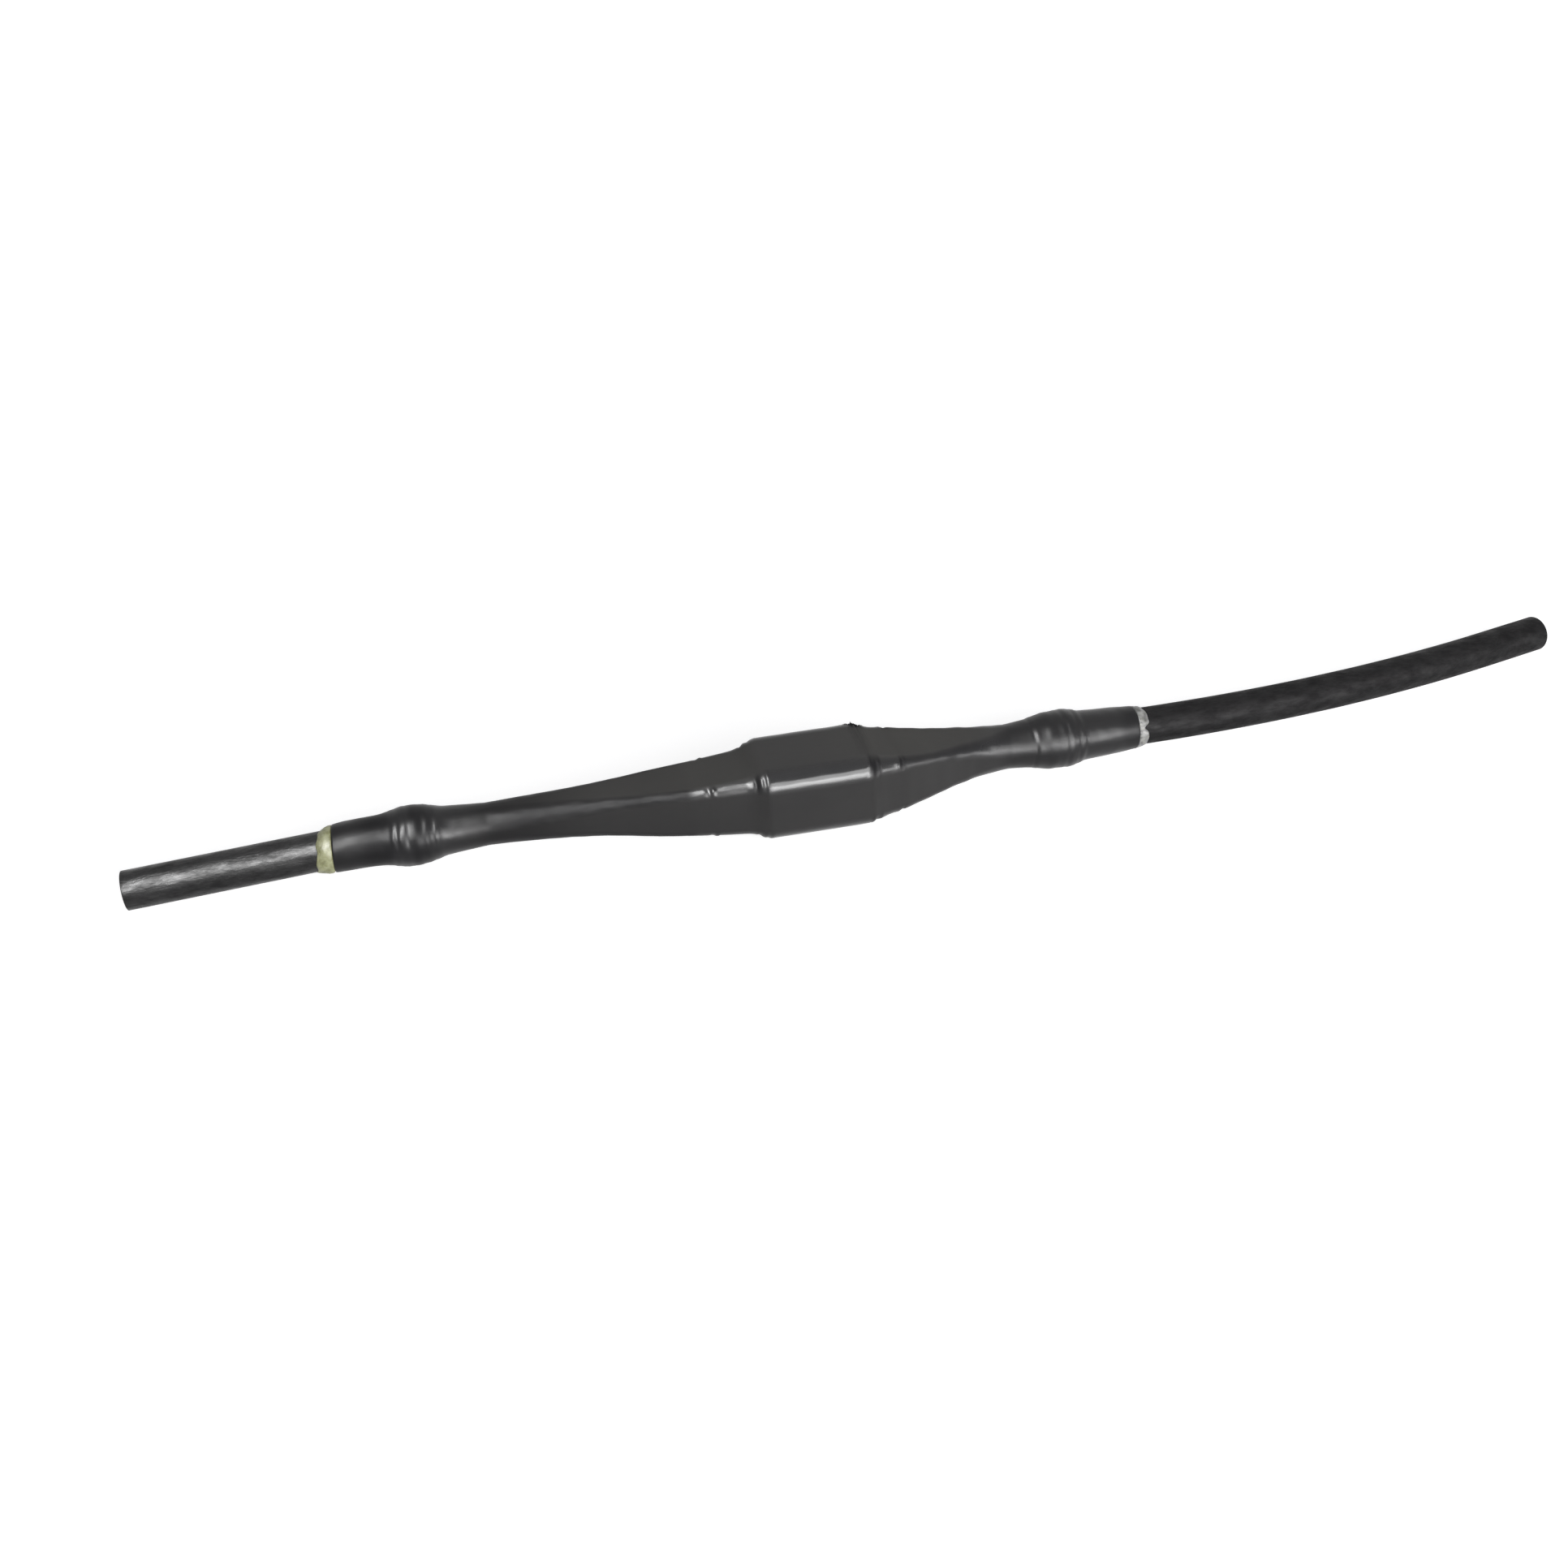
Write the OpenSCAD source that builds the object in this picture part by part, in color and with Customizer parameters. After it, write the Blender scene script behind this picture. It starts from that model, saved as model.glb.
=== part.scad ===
// Heat-shrink straight joint of a four-core armoured cable, lying on its flat underside.
// Frame: X runs along the connectors, Y is the other way across, Z is up from the bench.
// The origin lies under the middle of the connector block. Sizes are in millimetres.

/* [Cable] */
// Diameter over the strands of one conductor
conductor_d = 8.6; // [6:0.1:12]
// Outer strands that show round one conductor
strand_count = 12; // [8:1:18]
// Diameter of one strand
strand_d = 1.9; // [1:0.05:2.4]
// Insulation wall of one core
insulation_wall = 1.0; // [0.6:0.1:2]
// Clearance between two layers of the cable
layer_gap = 0.05; // [0.02:0.01:0.2]
// Distance of each core from the cable axis, along Y and along Z
core_offset = 5.4; // [5.35:0.05:8]
// Bedding wall outside the cores
bedding_wall = 1.1; // [0.6:0.1:2]
// Diameter of one armour wire
wire_d = 2.0; // [1:0.1:3]
// Number of armour wires
wire_count = 44; // [24:1:44]
// Outer sheath wall
sheath_wall = 1.9; // [1:0.1:3]

/* [Route] */
// Height of the cable axis at both crutches
crutch_z = 31; // [24:0.5:40]
// Left crutch, where the cores part, along X
left_crutch_x = -308.6; // [-400:0.1:-200]
// Left crutch across
left_crutch_y = 20.4; // [-40:0.1:40]
// Right crutch along X
right_crutch_x = 189; // [120:0.1:300]
// Right crutch across
right_crutch_y = 17.1; // [-40:0.1:40]
// Left cable, straight from the crutch
left_straight = 100; // [96:1:140]
// Left cable, radius of its bend
left_bend_r = 500; // [300:10:2000]
// Left cable, straight to the cut end
left_tail = 190; // [100:1:300]
// Right cable, straight from the crutch
right_straight = 152; // [150:1:200]
// Right cable, radius of its bend
right_bend_r = 1515; // [500:5:3000]
// Right cable, angle of its bend
right_bend_angle = 15.1; // [2:0.1:30]
// Right cable, straight to the cut end
right_tail = 74; // [40:1:200]

/* [Connectors] */
// Distance of each connector from the block axis, along Y and along Z
block_offset = 19.4; // [18:0.1:26]
// Connector diameter
connector_d = 29.6; // [20:0.1:30]
// Connector length
connector_length = 92; // [60:1:110]
// Edge chamfer of a connector
connector_chamfer = 1.5; // [0.5:0.1:3]
// Conductor bore
bore_d = 9.0; // [8.8:0.1:11]
// Half thickness of the stop between the two bores
bore_stop = 3; // [2:0.5:6]
// Flare of the bore at its mouth
bore_flare = 1.2; // [0.5:0.1:2.5]
// Shear bolt diameter
bolt_d = 12; // [8:0.5:14]
// Inner bolt from the middle
bolt_inner = 15; // [12:0.5:18]
// Outer bolt from the middle
bolt_outer = 34; // [30:0.5:38]
// Depth of the sheared bolt face under the connector's surface
bolt_sink = 1.5; // [1.4:0.1:3]
// Width of the pit left where the bolt head sheared off
bolt_pit_d = 5; // [2:0.5:8]
// Where the brown connector sits along X
brown_shift = -12; // [-15:0.5:5]
// Where the black connector sits along X
black_shift = -9; // [-15:0.5:5]
// Where the grey connector sits along X
grey_shift = -6; // [-15:0.5:5]
// Where the blue connector sits along X
blue_shift = -6; // [-15:0.5:5]

/* [Inner sleeves] */
// Inner sleeve wall over the connector
inner_wall = 2.1; // [1:0.1:3]
// Inner sleeve wall on the core, where it shrank to its thinnest shape
inner_core_wall = 1.6; // [1:0.1:3]
// Length of the shoulder from connector to core
shoulder = 13; // [8:0.5:18]
// Middle of a connector to the start of the core's curve
curve_start = 64; // [62:0.5:80]
// Reach of an inner sleeve along the curve, left side
left_reach = 34; // [10:1:60]
// Reach of an inner sleeve along the curve, right side
right_reach = 16; // [6:1:40]
// Bare conductor between connector and insulation
bare_length = 4; // [2:0.5:8]

/* [Armour clamps] */
// Left clamp centre from the crutch
left_clamp = 66; // [50:0.5:72]
// Right clamp centre from the crutch
right_clamp = 54; // [44:0.5:72]
// Length of the support ring
ring_length = 20; // [12:0.5:30]
// Wall of the support ring
ring_wall = 5; // [3:0.1:6]
// Length over which the armour wires flare out
flare_length = 14; // [12:0.5:20]
// Wire ends beyond the support ring
wire_over = 2; // [0:0.5:4]
// Width of the roll spring
spring_width = 16; // [10:0.5:20]
// Wall of the wound roll spring
spring_wall = 0.9; // [0.5:0.1:1.5]
// Earth braid width
braid_width = 12; // [8:0.5:16]
// Earth braid thickness
braid_thick = 1.1; // [0.8:0.1:1.5]

/* [Outer sleeve] */
// Corner radius of the sleeve over the connectors
corner_radius = 19.6; // [19:0.1:22]
// Facets of each rounded corner
corner_steps = 8; // [4:1:10]
// Clearance of the sleeve on the sheath
mouth_gap = 0.12; // [0.05:0.01:0.3]
// Left mouth from the crutch
left_mouth = 137; // [130:0.5:138]
// Right mouth from the crutch
right_mouth = 137; // [130:0.5:140]
// Depth of the roughened sheath under the sleeve and the beads
key_depth = 0.25; // [0.05:0.05:0.4]
// Roughened sheath past each sealant bead
key_past = 2; // [0.5:0.5:10]
// Gap between a mouth and its sealant bead
bead_gap = 0.15; // [0.1:0.05:0.5]
// Left sealant bead length
left_bead = 16; // [8:0.5:24]
// Right sealant bead length
right_bead = 12; // [8:0.5:20]
// Left sealant bead height over the sheath
left_bead_rise = 3.4; // [1:0.1:5]
// Right sealant bead height over the sheath
right_bead_rise = 2.8; // [1:0.1:5]

/* [Hidden] */

$fn = 48;
overlap = 1;
end_gap = 0.5;
// Slit between one stretch of a bent piece and the next, too thin to see
slit = 0.01;

// Sides and cores are numbered so that one module serves all of them.
LEFT = 0;
RIGHT = 1;
BROWN = 0;
BLACK = 1;
GREY = 2;
BLUE = 3;
side_dir = [-1, 1];
core_y = [1, -1, -1, 1];
core_z = [1, 1, -1, -1];
shift = [brown_shift, black_shift, grey_shift, blue_shift];

// Radii of the cable's layers, from the inside out
conductor_r = conductor_d / 2;
strand_r = strand_d / 2;
core_r = conductor_r + layer_gap + insulation_wall;
core_seat_r = core_r + layer_gap;
bedding_r = core_offset * sqrt(2) + core_r + bedding_wall;
wire_r = wire_d / 2;
wire_pitch_r = bedding_r + layer_gap + wire_r;
sheath_in_r = wire_pitch_r + wire_r + layer_gap;
sheath_r = sheath_in_r + sheath_wall;
key_r = sheath_r - key_depth;

// The block rests on its flat, so its axis height follows from the corners' lowest facets.
corner_flat = cos(45 / corner_steps);
axis_z = block_offset + corner_radius * corner_flat;

// The two cable routes: both cut ends come down to the bench.
drop = crutch_z - sheath_r;
crutch_x = [left_crutch_x, right_crutch_x];
crutch_y = [left_crutch_y, right_crutch_y];
straight = [left_straight, right_straight];
bend_r = [left_bend_r, right_bend_r];
tail = [left_tail, right_tail];
left_hyp = sqrt(left_bend_r * left_bend_r + left_tail * left_tail);
left_angle = acos((left_bend_r - drop) / left_hyp) - atan(left_tail / left_bend_r);
bend_angle = [left_angle, right_bend_angle];
right_swing = right_bend_r * (1 - cos(right_bend_angle)) + right_tail * sin(right_bend_angle);
roll = [90, asin(drop / right_swing)];
arc = [for (i = [LEFT, RIGHT]) bend_r[i] * bend_angle[i] * PI / 180];
cable_end = [for (i = [LEFT, RIGHT]) straight[i] + arc[i] + tail[i]];
clamp = [left_clamp, right_clamp];
cut = [for (c = clamp) c + ring_length / 2 + flare_length + wire_over];
reach = [left_reach, right_reach];
mouth = [left_mouth, right_mouth];
bead = [left_bead, right_bead];
bead_rise = [left_bead_rise, right_bead_rise];

// The curve of each core between crutch and connector: two arcs that meet in a slanted line
first_share = [0.58, 0.5];
function start_yz(i, k) = [crutch_y[i] + core_y[k] * core_offset, crutch_z + core_z[k] * core_offset];
function goal_yz(k) = [core_y[k] * block_offset, axis_z + core_z[k] * block_offset];
function sway(i, k) = goal_yz(k) - start_yz(i, k);
function sway_angle(i, k) = atan2(sway(i, k)[1], sway(i, k)[0]);
function join_x(i, k) = shift[k] + side_dir[i] * curve_start;
function run(i, k) = abs(crutch_x[i] - join_x(i, k));
function turn(i, k) = 2 * atan(norm(sway(i, k)) / run(i, k));
function first_r(i, k) = first_share[i] * run(i, k) / sin(turn(i, k));
function second_r(i, k) = (1 - first_share[i]) * run(i, k) / sin(turn(i, k));
function dip(r, a) = r - sqrt(r * r - a * a);
function moved(i, k, a) = a <= 0 ? 0 : a >= run(i, k) ? norm(sway(i, k)) :
  a < first_r(i, k) * sin(turn(i, k)) ? dip(first_r(i, k), a) :
  norm(sway(i, k)) - dip(second_r(i, k), run(i, k) - a);
function core_yz_on(i, k, x) =
  start_yz(i, k) + sway(i, k) / norm(sway(i, k)) * moved(i, k, side_dir[i] * (crutch_x[i] - x));
function core_yz(k, x) = core_yz_on(x < shift[k] ? LEFT : RIGHT, k, x);
function mean_yz(x) = (core_yz(0, x) + core_yz(1, x) + core_yz(2, x) + core_yz(3, x)) / 4;

// Places on a cable's own path: s is the distance from its crutch.
function bent(i, s) = min(max(s - straight[i], 0) / arc[i], 1) * bend_angle[i];
function beyond(i, s) = max(s - straight[i] - arc[i], 0);
function side_way(i, s) = bend_r[i] * (1 - cos(bent(i, s))) + beyond(i, s) * sin(bent(i, s));
function along(i, s) = min(s, straight[i]) + bend_r[i] * sin(bent(i, s)) + beyond(i, s) * cos(bent(i, s));
function axis_x(i) = [0, cos(roll[i]), -sin(roll[i])];
function axis_y(i) = side_dir[i] * [0, sin(roll[i]), cos(roll[i])];
function axis_along(i) = [side_dir[i], 0, 0];
function crutch(i) = [crutch_x[i], crutch_y[i], crutch_z];
function own_xy(i, yz) = [yz * [cos(roll[i]), -sin(roll[i])],
  side_dir[i] * (yz * [sin(roll[i]), cos(roll[i])])];
function cable_point(i, s, yz) = crutch(i)
  + axis_x(i) * (side_way(i, s) + own_xy(i, yz)[0] * cos(bent(i, s)))
  + axis_y(i) * own_xy(i, yz)[1]
  + axis_along(i) * (along(i, s) - own_xy(i, yz)[0] * sin(bent(i, s)));

module at_crutch(i) {
  x = axis_x(i);
  y = axis_y(i);
  z = axis_along(i);
  p = crutch(i);
  multmatrix([[x[0], y[0], z[0], p[0]], [x[1], y[1], z[1], p[1]], [x[2], y[2], z[2], p[2]], [0, 0, 0, 1]])
    children();
}

module at_station(i, s) {
  at_crutch(i) translate([side_way(i, s), 0, along(i, s)]) rotate([0, bent(i, s), 0]) children();
}

module bend(r, angle) {
  translate([r, 0, 0]) rotate([90, 0, 180]) rotate_extrude(angle = angle, $fn = 240)
    translate([r, 0]) mirror([1, 0]) children();
}

// A cable layer from station s to the cut end, drawn from its own cross-section
module cable_layer(i, s) {
  at_crutch(i) {
    translate([0, 0, s]) linear_extrude(straight[i] - s - slit) children();
    translate([0, 0, straight[i]]) bend(bend_r[i], bend_angle[i]) children();
  }
  at_station(i, straight[i] + arc[i] + slit) linear_extrude(tail[i] - slit) children();
}

// Two arcs that carry a cross-section sideways by d over a length l
module s_curve(d, l, share) {
  angle = 2 * atan(d / l);
  r1 = share * l / sin(angle);
  r2 = (1 - share) * l / sin(angle);
  bend(r1, angle) children();
  translate([d, 0, l]) rotate([0, 180, 0]) bend(r2, angle - slit / r2 * 180 / PI) mirror([1, 0]) children();
}

module core_frame(i, k) {
  a = sway_angle(i, k);
  p = [crutch_x[i], start_yz(i, k)[0], start_yz(i, k)[1]];
  d = -side_dir[i];
  multmatrix([[0, 0, d, p[0]], [cos(a), -d * sin(a), 0, p[1]], [sin(a), d * cos(a), 0, p[2]], [0, 0, 0, 1]])
    children();
}

// A core's cross-section carried along the whole core, up to "stop" from the connector's middle
module core_layer(i, k, stop) {
  cable_layer(i, slit) translate(own_xy(i, [core_y[k], core_z[k]] * core_offset)) rotate(roll[i]) children();
  core_frame(i, k) s_curve(norm(sway(i, k)), run(i, k), first_share[i])
    rotate(side_dir[i] * sway_angle(i, k)) children();
  translate([join_x(i, k) - side_dir[i] * slit, goal_yz(k)[0], goal_yz(k)[1]])
    rotate([90, 0, -90 * side_dir[i]]) linear_extrude(curve_start - slit - stop) children();
}

module tube_section(r, hole_r) {
  difference() {
    circle(r);
    circle(hole_r);
  }
}

module strands_section() {
  circle(conductor_r - strand_r);
  for (n = [1:strand_count]) rotate(n * 360 / strand_count) translate([conductor_r - strand_r, 0])
    circle(strand_r, $fn = 24);
}

module core(i, k) core_layer(i, k, connector_length / 2 + bare_length)
  tube_section(core_r, conductor_r + layer_gap);

module conductor(i, k) core_layer(i, k, bore_stop + end_gap) strands_section();

// The sheath is roughened from its cut to just past the sealant bead, so that both stick to it.
function keyed_end(i) = mouth[i] + bead_gap + bead[i] + key_past;

// A straight stretch of sheath of length l, of which the first k is roughened
module sheath_stretch(l, k) {
  step = max(0, min(k, l));
  rotate_extrude() polygon(concat([[sheath_in_r, 0]],
    step > 0 ? [[key_r, 0], [key_r, step]] : [], step < l ? [[sheath_r, step], [sheath_r, l]] : [],
    [[sheath_in_r, l]]));
}

// Short rings inside the wall carry the sheath across its two slits.
module sheath(i) {
  bend_end = straight[i] + arc[i] + slit;
  at_crutch(i) {
    translate([0, 0, cut[i]]) sheath_stretch(straight[i] - cut[i] - slit, keyed_end(i) - cut[i]);
    translate([0, 0, straight[i]]) bend(bend_r[i], bend_angle[i])
      tube_section(keyed_end(i) > straight[i] ? key_r : sheath_r, sheath_in_r);
  }
  at_station(i, bend_end) sheath_stretch(tail[i] - slit, keyed_end(i) - bend_end);
  for (s = [straight[i], straight[i] + arc[i]]) at_station(i, s) translate([0, 0, -overlap / 2])
    linear_extrude(overlap) tube_section(sheath_r - sheath_wall / 4, sheath_in_r + sheath_wall / 4);
}

module bedding(i) cable_layer(i, 0) difference() {
  circle(bedding_r);
  for (k = [0:3]) translate(own_xy(i, [core_y[k], core_z[k]] * core_offset)) circle(core_seat_r);
  square(2 * (core_offset + strand_d), center = true);
}

ring_in_r = bedding_r + layer_gap;
ring_r = ring_in_r + ring_wall;
flared_r = ring_r + layer_gap + wire_r;
wires_top_r = flared_r + wire_r;
module armour(i) {
  cable_layer(i, cut[i] + slit) wire_ring_section();
  at_station(i, cut[i]) rotate([180, 0, 0]) for (n = [1:wire_count]) rotate(n * 360 / wire_count) {
    translate([wire_pitch_r, 0, 0]) s_curve(flared_r - wire_pitch_r, flare_length, 0.5)
      circle(wire_r, $fn = 24);
    translate([flared_r, 0, flare_length + slit]) cylinder(r = wire_r, h = ring_length + 2 * wire_over, $fn = 24);
  }
}
module wire_ring_section() {
  for (n = [1:wire_count]) rotate(n * 360 / wire_count) translate([wire_pitch_r, 0])
    circle(wire_r, $fn = 24);
}

module support_ring(i) at_station(i, clamp[i]) rotate_extrude() translate([0, -ring_length / 2]) polygon([
  [ring_in_r, 0], [ring_r - overlap, 0], [ring_r, overlap], [ring_r, ring_length - overlap],
  [ring_r - overlap, ring_length], [ring_in_r, ring_length]]);

// The wound spring grips the wires on one side and the braid on the other, so it sits off centre.
braid_in_r = wires_top_r + layer_gap;
spring_off = (braid_thick + layer_gap) / 2;
spring_r = wires_top_r + layer_gap + spring_off;
module roll_spring(i) at_station(i, clamp[i]) translate(own_xy(i, [spring_off, 0])) rotate_extrude($fn = 120)
  translate([spring_r, -spring_width / 2]) square([spring_wall, spring_width]);

module sealant(i) {
  r0 = key_r + layer_gap;
  r1 = sheath_r + bead_rise[i];
  l = bead[i];
  at_station(i, mouth[i] + bead_gap) rotate_extrude() polygon([[r0, 0], [r1 - overlap, 0], [r1, overlap],
    [r1, 0.4 * l], [r1 - 0.25 * bead_rise[i], 0.62 * l], [r1 - 0.6 * bead_rise[i], 0.82 * l],
    [r0 + 0.2, l], [r0, l]]);
}

module at_connector(k) translate([shift[k], goal_yz(k)[0], goal_yz(k)[1]]) children();
module bolt_places(k) for (x = [-bolt_outer, -bolt_inner, bolt_inner, bolt_outer]) translate([x, 0, 0])
  rotate([atan2(-core_y[k], core_z[k]), 0, 0]) children();

module connector(k) {
  r = connector_d / 2;
  b = bore_d / 2;
  h = connector_length / 2;
  c = connector_chamfer;
  at_connector(k) difference() {
    rotate([0, 90, 0]) rotate_extrude() polygon([[0, -bore_stop], [b, -bore_stop], [b, -h + bore_flare],
      [b + bore_flare, -h], [r - c, -h], [r, -h + c], [r, h - c], [r - c, h], [b + bore_flare, h],
      [b, h - bore_flare], [b, bore_stop], [0, bore_stop]]);
    bolt_places(k) cylinder(r = bolt_d / 2 + layer_gap, h = r + overlap);
  }
}

module bolts(k) at_connector(k) bolt_places(k) difference() {
  translate([0, 0, conductor_r + layer_gap])
    cylinder(r = bolt_d / 2, h = connector_d / 2 - bolt_sink - conductor_r - layer_gap);
  translate([0, 0, connector_d / 2 - bolt_sink - bolt_pit_d / 4])
    cylinder(r1 = 0, r2 = bolt_pit_d, h = bolt_pit_d);
}

inner_bore_r = connector_d / 2 + layer_gap;
inner_top_r = inner_bore_r + inner_wall;
inner_low_r = core_seat_r + inner_core_wall;
module inner_sleeve(k) {
  h = connector_length / 2 + layer_gap;
  e = h + shoulder;
  j = curve_start - slit;
  at_connector(k) rotate([0, 90, 0]) rotate_extrude() polygon([
    [core_seat_r, -j], [inner_low_r, -j], [inner_low_r, -e], [inner_top_r, -h],
    [inner_top_r, h], [inner_low_r, e], [inner_low_r, j], [core_seat_r, j],
    [core_seat_r, e - overlap], [inner_bore_r, h], [inner_bore_r, -h], [core_seat_r, -e + overlap]]);
  for (i = [LEFT, RIGHT]) core_frame(i, k) translate([norm(sway(i, k)), 0, run(i, k)]) rotate([0, 180, 0])
    bend(second_r(i, k), reach[i] / second_r(i, k) * 180 / PI) tube_section(inner_low_r, core_seat_r);
}

// Shape of the outer sleeve on the cables: distance from the crutch, outer radius, largest wall.
// Past the end of the sheath it has shrunk tight on that, whatever wall this leaves.
cable_rows = [
  [[0, 19.5, 3.7], [15, 20.6, 4.2], [29, 21.7, 4.3], [37, 22.4, 4.0], [44, 23.9, 3.6], [51.5, 26, 3.3],
    [59, 27.2, 3.5], [66, 27.8, 4.0], [73, 27.8, 4.0], [77, 27, 3.7], [81, 26.2, 3.8], [88, 24.4, 4.2],
    [95, 23.3, 9], [110, 22.6, 9], [124, 22.4, 9], [131, 22.0, 9], [137, 21.6, 9]],
  [[0, 21.5, 4.9], [10, 22.3, 4.5], [18, 23.1, 4.1], [27, 24.7, 3.9], [35, 26.3, 3.5], [42, 27.6, 3.6],
    [52, 27.9, 4.1], [60, 28.2, 4.3], [66, 27.5, 3.9], [69, 26.7, 3.7], [77, 24.3, 4.0], [86, 23.7, 9],
    [94, 23.3, 9], [112, 22.6, 9], [129, 21.4, 9], [137, 21.0, 9]]];

// Its shape between the crutches: X, how far the corners part (1 = over the cores), corner radius, wall
middle_rows = [
  [left_crutch_x, 0.019, 19.36, 3.7], [-278, 0.3, 18.2, 4.2], [-248, 0.6, 16.3, 4.3], [-219, 0.85, 13.7, 4.4],
  [-189, 1, 10.9, 4.5], [-159, 1, 9.8, 3.8], [-129, 1, 9.2, 3.1], [-112, 1, 9.4, 2.6], [-99, 1, 9.9, 2.5],
  [-87, 1, 10.6, 2.7], [-68, 1, 12.2, 2.7], [-58, 1, 15, 2.6], [-52, 1, 18.2, 2.4],
  [-48, 1, corner_radius, 2.3], [49, 1, corner_radius, 2.3], [53, 1, 18.4, 2.4], [58, 1, 16.8, 2.6],
  [68, 1, 14, 3.0], [76, 1, 12.8, 3.3], [84, 1, 11.9, 3.6], [95, 1, 10.6, 3.6], [111, 1, 10.2, 3.2],
  [127, 1, 11.8, 3.9], [143, 1, 13.7, 4.3], [152, 0.9, 14.6, 4.4], [168, 0.6, 17.6, 4.4],
  [180, 0.25, 20, 4.6], [right_crutch_x, 0.019, 21.36, 4.9]];

round_offset = 0.1;
function column(rows, n) = [for (r = rows) [r[0], r[n]]];
cable_outer = [for (rows = cable_rows) column(rows, 1)];
cable_wall = [for (rows = cable_rows) column(rows, 2)];
middle_share = column(middle_rows, 1);
middle_corner = column(middle_rows, 2);
middle_wall = column(middle_rows, 3);

// The block end of each corner follows its own connector's place along X.
function own_x(k, x) = lookup(x, [[left_crutch_x, left_crutch_x], [shift[k] - curve_start, -curve_start],
  [shift[k] + curve_start, curve_start], [right_crutch_x, right_crutch_x]]);
function side_of(t) = t < left_crutch_x ? LEFT : t > right_crutch_x ? RIGHT : -1;
function station(t) = side_of(t) == LEFT ? left_crutch_x - t : t - right_crutch_x;
function on_cable(t) = side_of(t) >= 0;
function corner_q(t, k) = on_cable(t) ?
  lookup(station(t), cable_outer[side_of(t)]) - round_offset * sqrt(2) : lookup(own_x(k, t), middle_corner);
tight_r = (key_r + mouth_gap) / corner_flat;
function tight_wall(i, s) = s < cut[i] ? 99 : lookup(s, cable_outer[i]) - tight_r;
function wall_at(t, k) = on_cable(t) ?
  min(lookup(station(t), cable_wall[side_of(t)]), tight_wall(side_of(t), station(t))) :
  lookup(own_x(k, t), middle_wall);
function corner_yz(t, k) = on_cable(t) ? [core_y[k], core_z[k]] * round_offset :
  mean_yz(t) + (core_yz(k, t) - mean_yz(t)) * lookup(t, middle_share);
function place_yz(t, yz) = on_cable(t) ? cable_point(side_of(t), station(t), yz) : [t, yz[0], yz[1]];
corner_order = [BROWN, BLACK, GREY, BLUE];
function ring_points(t, inside) = [for (n = [0:3]) for (j = [0:corner_steps - 1])
  let (k = corner_order[n], a = 90 * n + (j + 0.5) * 90 / corner_steps,
    q = corner_q(t, k) - (inside ? wall_at(t, k) : 0))
  place_yz(t, corner_yz(t, k) + q * [cos(a), sin(a)])];

left_stations = [137, 131, 124, 117, 110, 103, 95, 88, 81, 77, 73, 66, 59, 55, 51.5, 48, 44, 37, 29, 22, 15, 7];
middle_stations = concat([for (x = [left_crutch_x:13.2:-84]) x], [for (x = [-84:4:-44]) x], [-34, 30],
  [for (x = [36:4:84]) x], [for (x = [91:7.5:182]) x], [right_crutch_x]);
right_stations = [5, 10, 18, 27, 35, 42, 52, 60, 66, 69, 77, 86, 94, 112, 129, 137];
sleeve_stations = concat([for (s = left_stations) left_crutch_x - s], middle_stations,
  [for (s = right_stations) right_crutch_x + s]);

// A closed skin through equal rings; the rings run along +X and turn from Y towards Z.
function skin_faces(rings, n, base, flip) = [for (i = [0:rings - 2]) for (j = [0:n - 1]) for (h = [0, 1])
  let (a = base + i * n + j, b = base + i * n + (j + 1) % n, c = b + n, d = a + n,
    f = h == 0 ? [a, d, c] : [a, c, b])
  flip ? [f[2], f[1], f[0]] : f];
function rim_faces(outer, inner, n, flip) = [for (j = [0:n - 1]) for (h = [0, 1])
  let (m = (j + 1) % n, f = h == 0 ? [outer + j, outer + m, inner + m] : [outer + j, inner + m, inner + j])
  flip ? [f[2], f[1], f[0]] : f];

module outer_sleeve() {
  n = 4 * corner_steps;
  rings = len(sleeve_stations);
  outer = [for (t = sleeve_stations) each ring_points(t, false)];
  inner = [for (t = sleeve_stations) each ring_points(t, true)];
  last = (rings - 1) * n;
  color([0.1, 0.1, 0.11]) polyhedron(points = concat(outer, inner), faces = concat(
    skin_faces(rings, n, 0, false), skin_faces(rings, n, rings * n, true),
    rim_faces(0, rings * n, n, false), rim_faces(last, rings * n + last, n, true)), convexity = 8);
}

// The earth braid follows the sleeve's back wall from one clamp to the other.
braid_rows = [[[0, bedding_r + layer_gap], [29, bedding_r + 0.6], [37, bedding_r + 2], [44, wires_top_r - 2.7],
    [left_clamp - ring_length / 2 - 3, braid_in_r], [left_clamp + ring_length / 2, braid_in_r]],
  [[0, bedding_r + 0.6], [10, bedding_r + 2], [18, wires_top_r - 4], [27, wires_top_r - 2.3],
    [right_clamp - ring_length / 2 - 3, braid_in_r], [right_clamp + ring_length / 2, braid_in_r]]];
braid_clear = 0.3;
function sleeve_back(t, k) = corner_yz(t, k)[0] + (corner_q(t, k) - wall_at(t, k)) * corner_flat;
function braid_share(t) = on_cable(t) ? 0 : lookup(t, middle_share);
function braid_mean(t) = on_cable(t) ? crutch_y[side_of(t)] : mean_yz(t)[0];
function braid_dist(t) = on_cable(t) ? lookup(station(t), braid_rows[side_of(t)]) :
  min(sleeve_back(t, BROWN), sleeve_back(t, BLUE)) - braid_clear - braid_thick - mean_yz(t)[0];
function braid_height(t) = on_cable(t) ? crutch_z : mean_yz(t)[1];
function braid_point(t, z, d) = [t, braid_mean(t) + d + (1 - braid_share(t)) * (sqrt(d * d - z * z) - d),
  braid_height(t) + z];
braid_steps = 4;
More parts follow.
